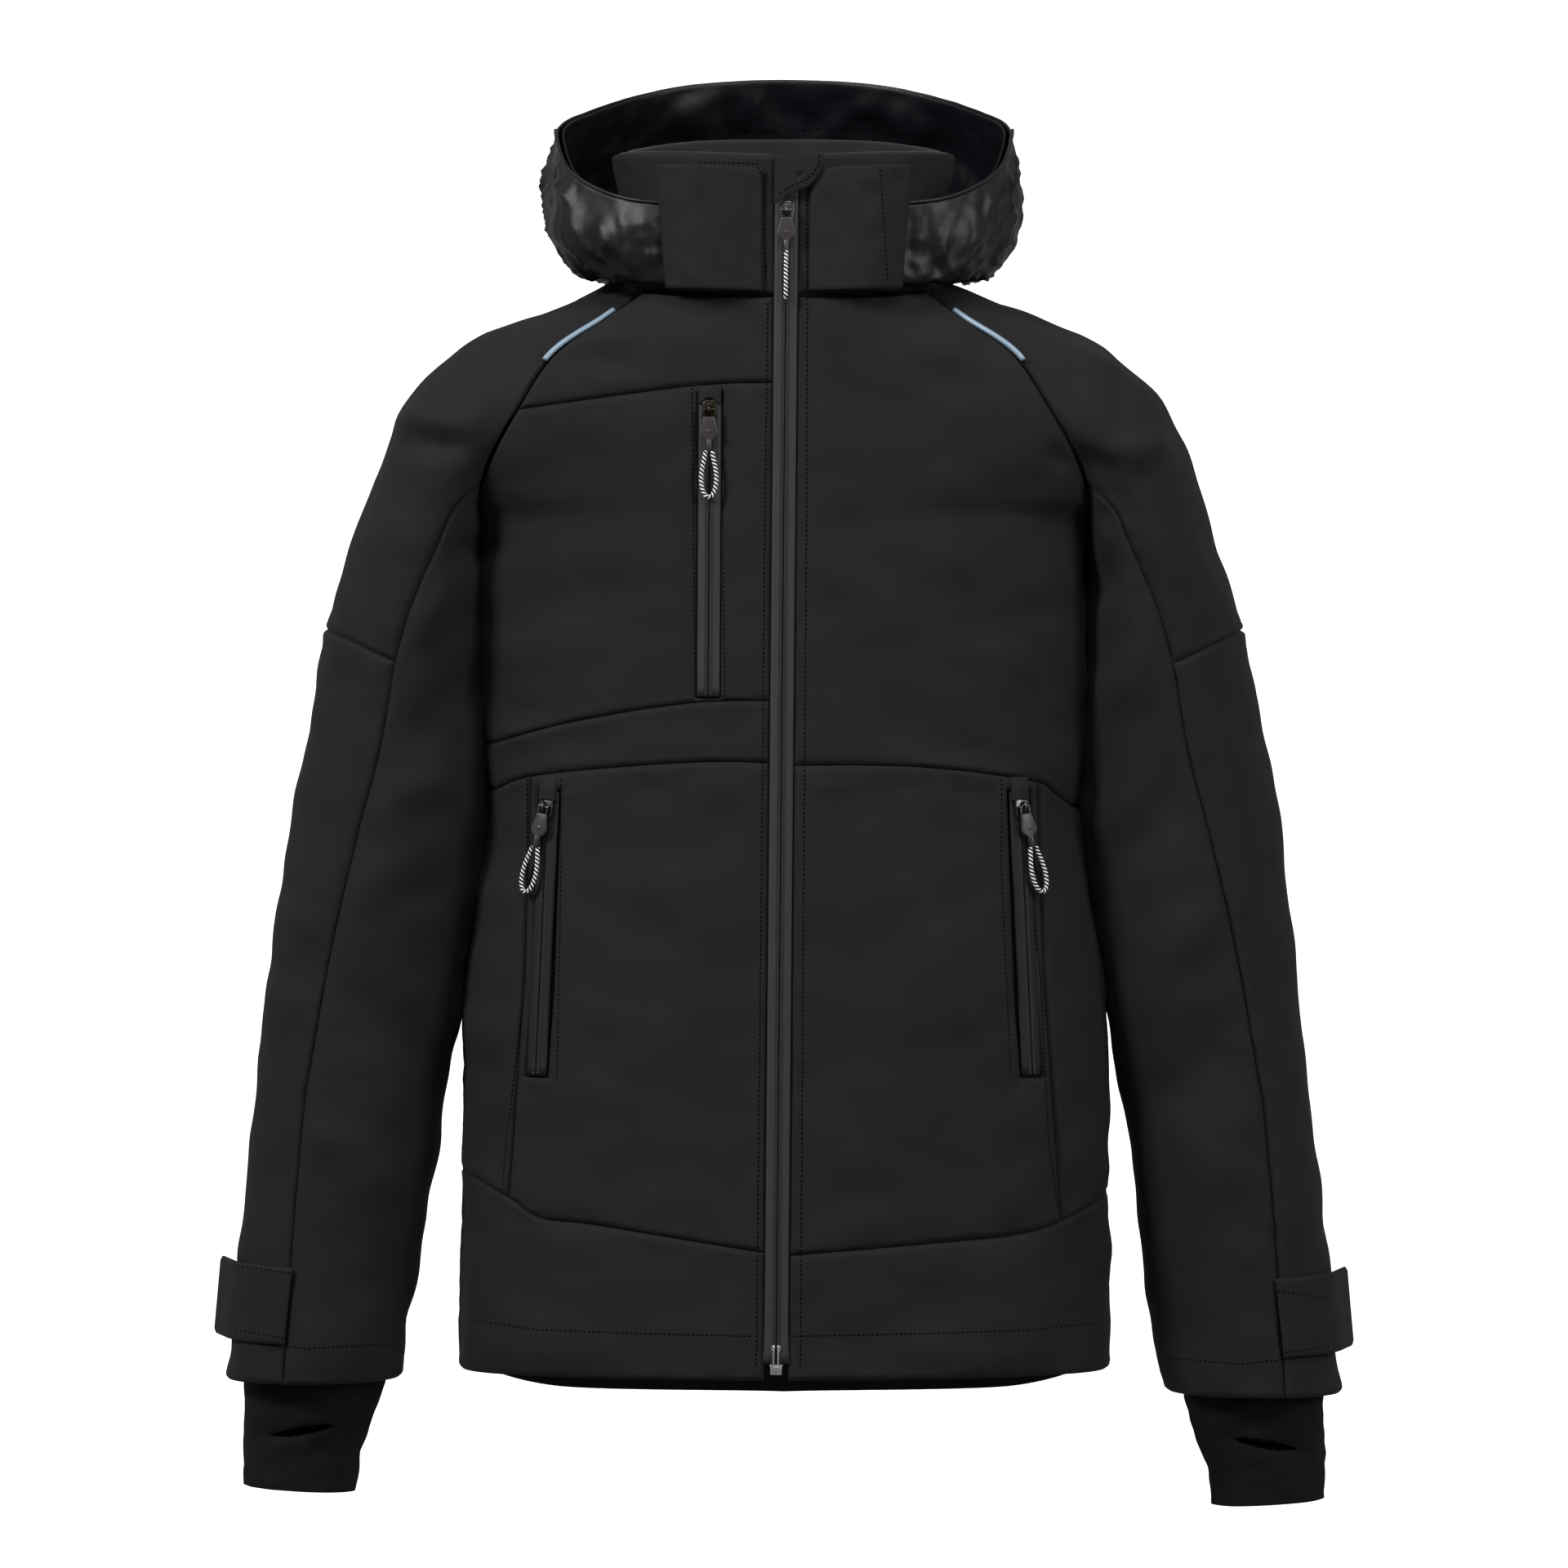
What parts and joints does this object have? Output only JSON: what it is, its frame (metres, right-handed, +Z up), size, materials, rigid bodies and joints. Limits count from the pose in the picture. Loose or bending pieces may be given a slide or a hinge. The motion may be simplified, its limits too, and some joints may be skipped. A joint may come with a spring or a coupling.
{
  "type": "ski jacket",
  "caption": "Hooded padded softshell jacket with full front zip, zipped chest and hand pockets, hook-and-loop cuff tabs and knit wrist gaiters.",
  "frame": {"origin": "middle of the hanger loop, inside the back of the neck, where it bears on a hook", "axes": "+Z up, the front of the jacket faces -Y, the wearer's right side is -X"},
  "size_m": [0.7512, 0.3019, 0.947],
  "materials": {
    "softshell": "matt fine woven softshell, near black",
    "hood_nylon": "thin black nylon with a soft satin sheen",
    "collar_fleece": "brushed fleece, black-brown",
    "lining_cloth": "plain black lining",
    "gaiter_knit": "black ribbed knit",
    "zip_tape": "dark grey coated zip tape with a reverse coil",
    "puller_rubber": "dark grey moulded rubber, satin",
    "slider_gunmetal": "gunmetal, satin",
    "slider_brass": "dark antique brass",
    "zip_nickel": "silvery metal, slightly worn",
    "cord_braid": "braided cord, black and white zigzag",
    "reflective_piping": "reflective blue-grey piping",
    "hook_tape": "black hook tape",
    "loop_tape": "black woven tape"
  },
  "bodies": {
    "root": {"chest_zip": "zip_tape", "right_pocket_zip": "zip_tape", "left_pocket_zip": "zip_tape", "front_zip_right": "zip_tape", "front_zip_left": "zip_tape", "front_zip_box": "zip_nickel", "yoke_front_right": "softshell", "chest_panel_right": "softshell", "chest_band_right": "softshell", "lower_front_right": "softshell", "side_front_right": "softshell", "hem_front_right": "softshell", "lining_front_right": "lining_cloth", "right_pocket_bag": "lining_cloth", "upper_front_left": "softshell", "lower_front_left": "softshell", "side_front_left": "softshell", "hem_front_left": "softshell", "lining_front_left": "lining_cloth", "left_pocket_bag": "lining_cloth", "chest_pocket_bag": "lining_cloth", "back_yoke": "softshell", "back_panel": "softshell", "hem_back": "softshell", "lining_back": "lining_cloth", "sleeve_upper_right": "softshell", "sleeve_lower_right": "softshell", "sleeve_inner_right": "softshell", "sleeve_upper_left": "softshell", "sleeve_lower_left": "softshell", "sleeve_inner_left": "softshell", "wrist_gaiter_right": "gaiter_knit", "wrist_gaiter_left": "gaiter_knit", "collar_shell": "softshell", "collar_lining": "collar_fleece", "collar_flap_right": "softshell", "collar_flap_left": "softshell", "zip_garage": "softshell", "piping_right": "reflective_piping", "piping_left": "reflective_piping", "hanger_loop": "loop_tape", "hood_base": "hood_nylon"},
    "front_slider": {"front_slider": "slider_gunmetal"},
    "front_pull": {"front_puller": "puller_rubber", "front_pull_cord": "cord_braid"},
    "chest_slider": {"chest_slider": "slider_brass"},
    "chest_pull": {"chest_puller": "puller_rubber", "chest_pull_cord": "cord_braid"},
    "cuff_tab_right": {"cuff_tab_right": "softshell", "cuff_hook_patch_right": "hook_tape"},
    "cuff_tab_left": {"cuff_tab_left": "softshell", "cuff_hook_patch_left": "hook_tape"},
    "hood_crown": {"hood_crown": "softshell", "hood_crown_lining": "hood_nylon"},
    "right_pocket_slider": {"right_pocket_slider": "slider_gunmetal"},
    "right_pocket_pull": {"right_pocket_puller": "puller_rubber", "right_pocket_pull_cord": "cord_braid"},
    "left_pocket_slider": {"left_pocket_slider": "slider_gunmetal"},
    "left_pocket_pull": {"left_pocket_puller": "puller_rubber", "left_pocket_pull_cord": "cord_braid"}
  },
  "joints": [
    {"name": "front_zip_slide", "type": "slide", "parent": "root", "child": "front_slider", "axis": [-0.0091, -0.0499, -0.9987], "range_m": [0, 0.727]},
    {"name": "front_puller_swing", "type": "hinge", "parent": "front_slider", "child": "front_pull", "pos_m": [0.0016, -0.15094, 0.02428], "axis": [-1, 0, 0.0091], "range_deg": [0, 150]},
    {"name": "chest_zip_slide", "type": "slide", "parent": "root", "child": "chest_slider", "axis": [-0.0052, -0.0391, -0.9992], "range_m": [0, 0.173]},
    {"name": "chest_puller_swing", "type": "hinge", "parent": "chest_slider", "child": "chest_pull", "pos_m": [-0.04786, -0.15676, -0.10379], "axis": [-0.998, 0.0633, 0.0027], "range_deg": [0, 150]},
    {"name": "right_pocket_zip_slide", "type": "slide", "parent": "root", "child": "right_pocket_slider", "axis": [-0.0426, -0.0513, -0.9978], "range_m": [0, 0.163]},
    {"name": "right_pocket_puller_swing", "type": "hinge", "parent": "right_pocket_slider", "child": "right_pocket_pull", "pos_m": [-0.15414, -0.1385, -0.35764], "axis": [-0.8636, 0.4573, 0.2125], "range_deg": [0, 150]},
    {"name": "left_pocket_zip_slide", "type": "slide", "parent": "root", "child": "left_pocket_slider", "axis": [0.0426, -0.0513, -0.9978], "range_m": [0, 0.163]},
    {"name": "left_pocket_puller_swing", "type": "hinge", "parent": "left_pocket_slider", "child": "left_pocket_pull", "pos_m": [0.15414, -0.1385, -0.35764], "axis": [-0.8636, -0.4573, -0.2125], "range_deg": [0, 150]},
    {"name": "cuff_tab_right_peel", "type": "hinge", "parent": "root", "child": "cuff_tab_right", "pos_m": [-0.31953, -0.11699, -0.6801], "axis": [0.1118, -0.0129, 0.9936], "range_deg": [0, 110]},
    {"name": "cuff_tab_left_peel", "type": "hinge", "parent": "root", "child": "cuff_tab_left", "pos_m": [0.31953, -0.11699, -0.6879], "axis": [0.1093, 0.0127, -0.9939], "range_deg": [0, 110]},
    {"name": "hood_raise", "type": "hinge", "parent": "root", "child": "hood_crown", "pos_m": [0, -0.062, 0], "axis": [1, 0, 0], "range_deg": [0, 70]}
  ]
}
